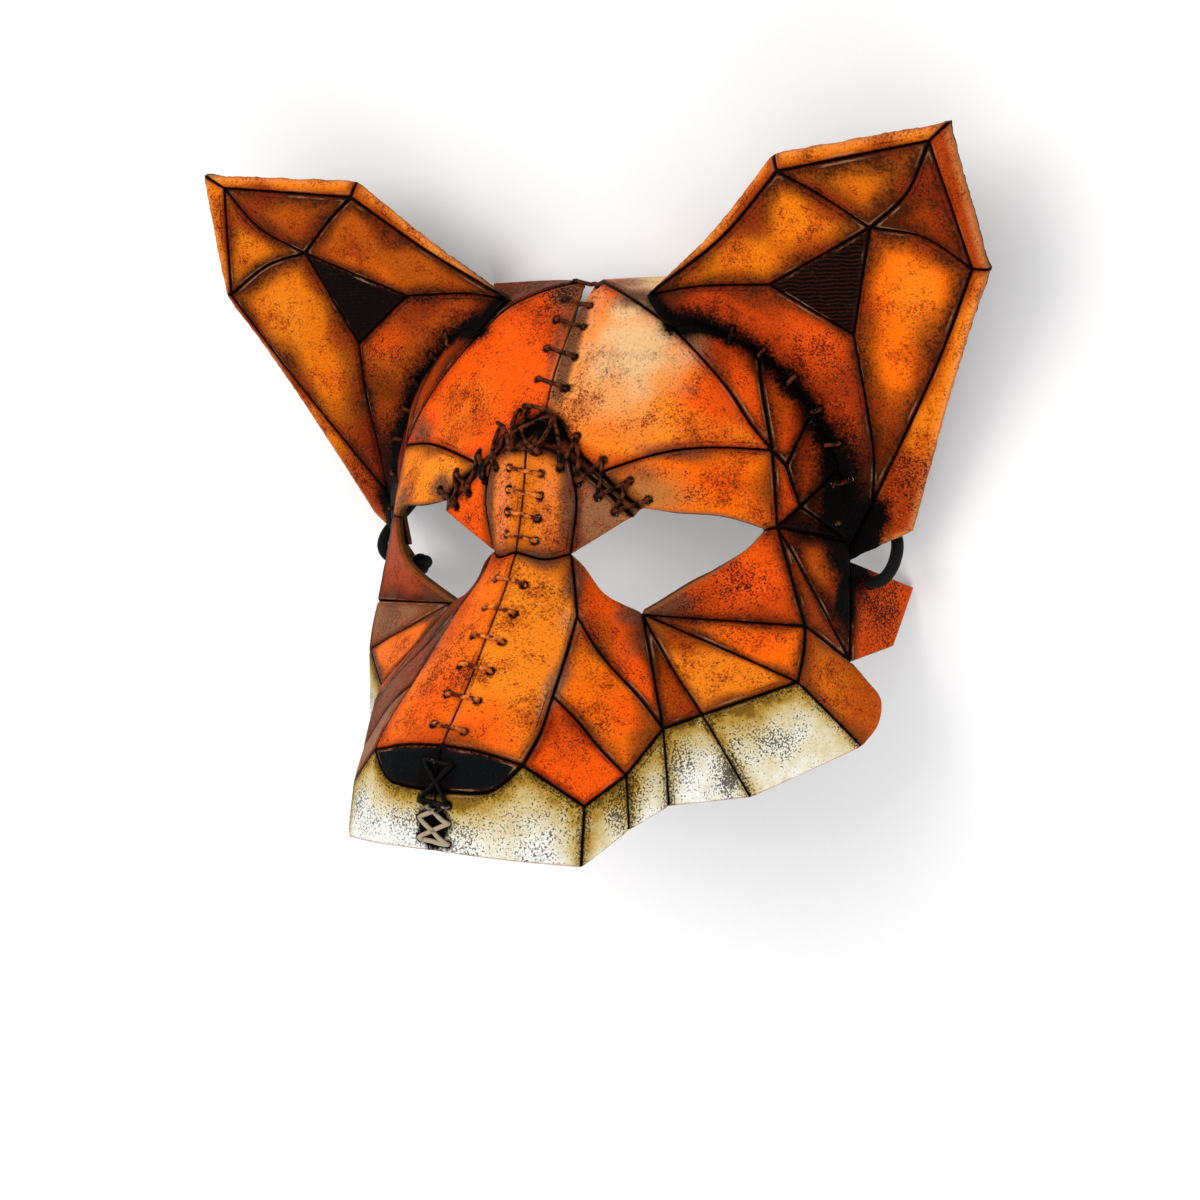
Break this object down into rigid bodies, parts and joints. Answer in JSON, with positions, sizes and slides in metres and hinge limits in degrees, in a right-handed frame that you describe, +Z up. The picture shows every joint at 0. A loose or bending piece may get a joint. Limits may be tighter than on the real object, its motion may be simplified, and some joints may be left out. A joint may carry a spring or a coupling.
{
  "type": "leather fox mask",
  "caption": "Carved and dyed leather fox half mask in two laced halves, with laced-on ears, open eyes, a snout with a black nose, and a tie cord between side tabs.",
  "frame": {"origin": "middle of the base of the mask as it lies face up, on the surface that it lies on", "axes": "+Z up, out of the face as the mask lies; +Y from the muzzle to the crown; +X across the face, to the viewer's right"},
  "size_m": [0.3162, 0.2234, 0.1616],
  "materials": {
    "face_leather": "dyed orange and dark brown, ochre to white at the muzzle, satin",
    "ear_leather": "dyed orange and dark brown, satin",
    "lace_leather": "waxed dark brown",
    "cord_fabric": "matte black"
  },
  "bodies": {
    "root": {"face_right": "face_leather", "face_left": "face_leather", "ear_right": "ear_leather", "ear_left": "ear_leather", "forehead_lace": "lace_leather", "snout_lace": "lace_leather", "muzzle_lace": "lace_leather", "brow_lace_right": "lace_leather", "brow_lace_left": "lace_leather", "ear_lace_right": "lace_leather", "ear_lace_left": "lace_leather", "tie_cord": "cord_fabric", "cord_knot_right": "cord_fabric", "cord_knot_left": "cord_fabric"}
  },
  "joints": []
}
